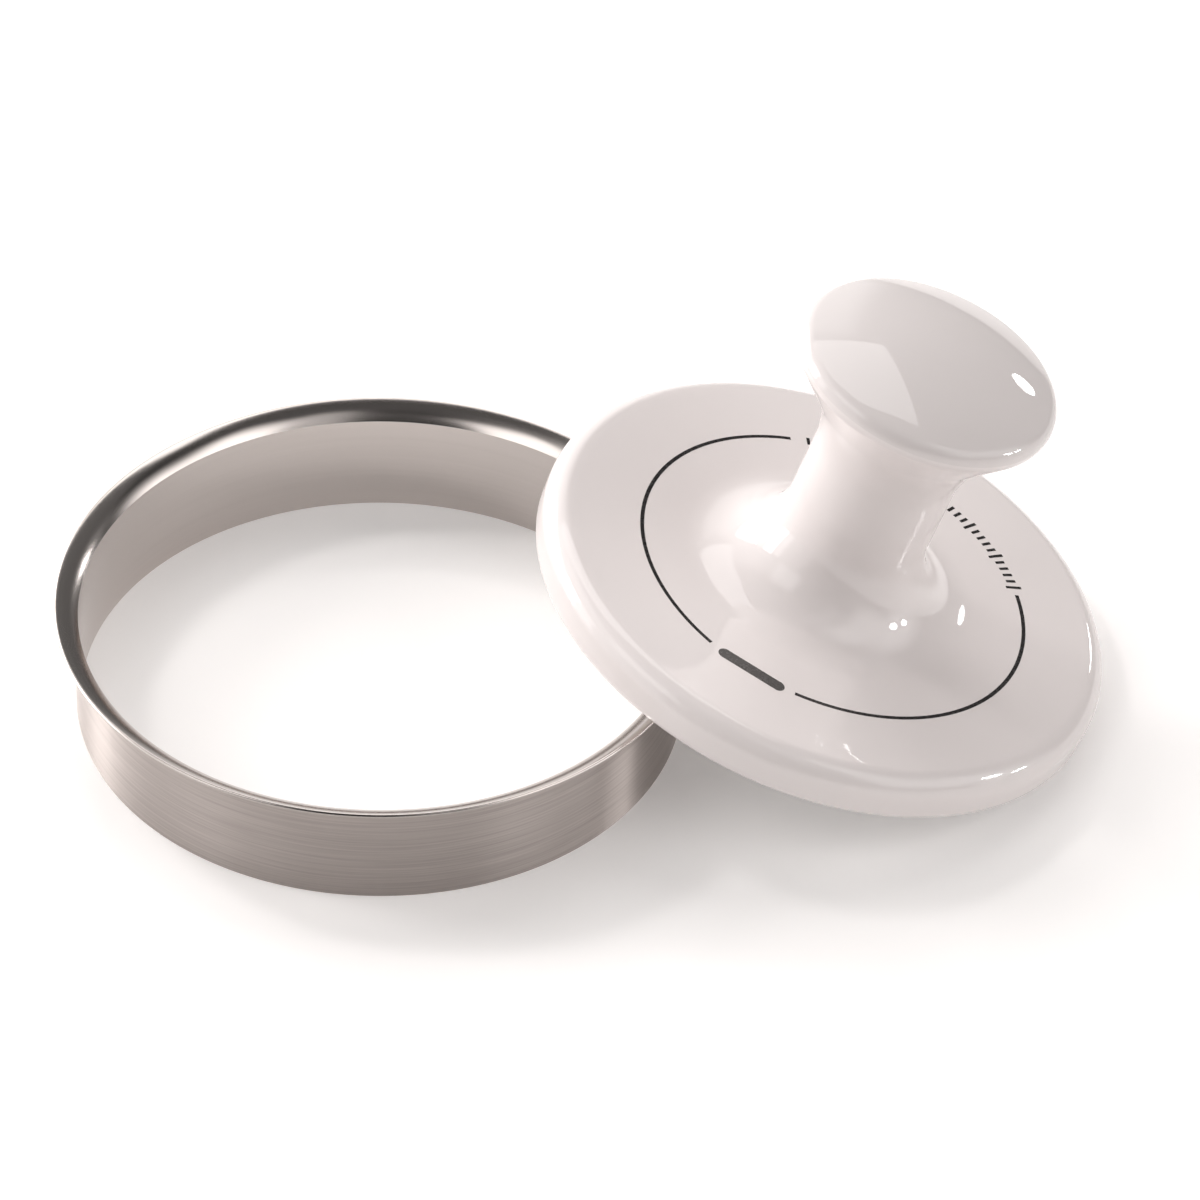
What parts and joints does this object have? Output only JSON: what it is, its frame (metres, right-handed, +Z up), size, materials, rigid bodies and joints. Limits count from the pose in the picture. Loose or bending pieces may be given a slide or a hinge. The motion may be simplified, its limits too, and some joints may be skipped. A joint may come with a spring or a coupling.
{
  "type": "patty press",
  "caption": "Hand press for meat patties: an open steel ring mould with a flared lip, and a white stamp with a ridged face, flared neck and mushroom knob, resting against the ring.",
  "frame": {"origin": "middle of the footprint, on the surface that the ring stands on", "axes": "+Z up, +X from the ring towards the leaning stamp"},
  "size_m": [0.1944, 0.125, 0.0816],
  "materials": {
    "ring_steel": "brushed wall, polished lip",
    "white_gloss": "high gloss",
    "white_plate": "satin gloss",
    "seal_rubber": "matte",
    "insert_brass": "machined",
    "screw_steel": "plain"
  },
  "bodies": {
    "ring": {"mould_ring": "ring_steel"},
    "stamp": {"stamp_shell": "white_gloss", "knob_cap": "white_gloss", "cap_seal": "seal_rubber", "thread_insert": "insert_brass", "tie_screw": "screw_steel", "screw_washer": "screw_steel"},
    "plate": {"pressing_plate": "white_plate"}
  },
  "joints": [
    {"name": "stamp_lift", "type": "slide", "parent": "ring", "child": "stamp", "axis": [0, 0, 1], "range_m": [0, 0.06]},
    {"name": "plate_turn", "type": "hinge", "parent": "stamp", "child": "plate", "pos_m": [0.04299, 0.00745, 0.01619], "axis": [0.3007, 0, 0.9537], "range_deg": [0, 40]}
  ]
}
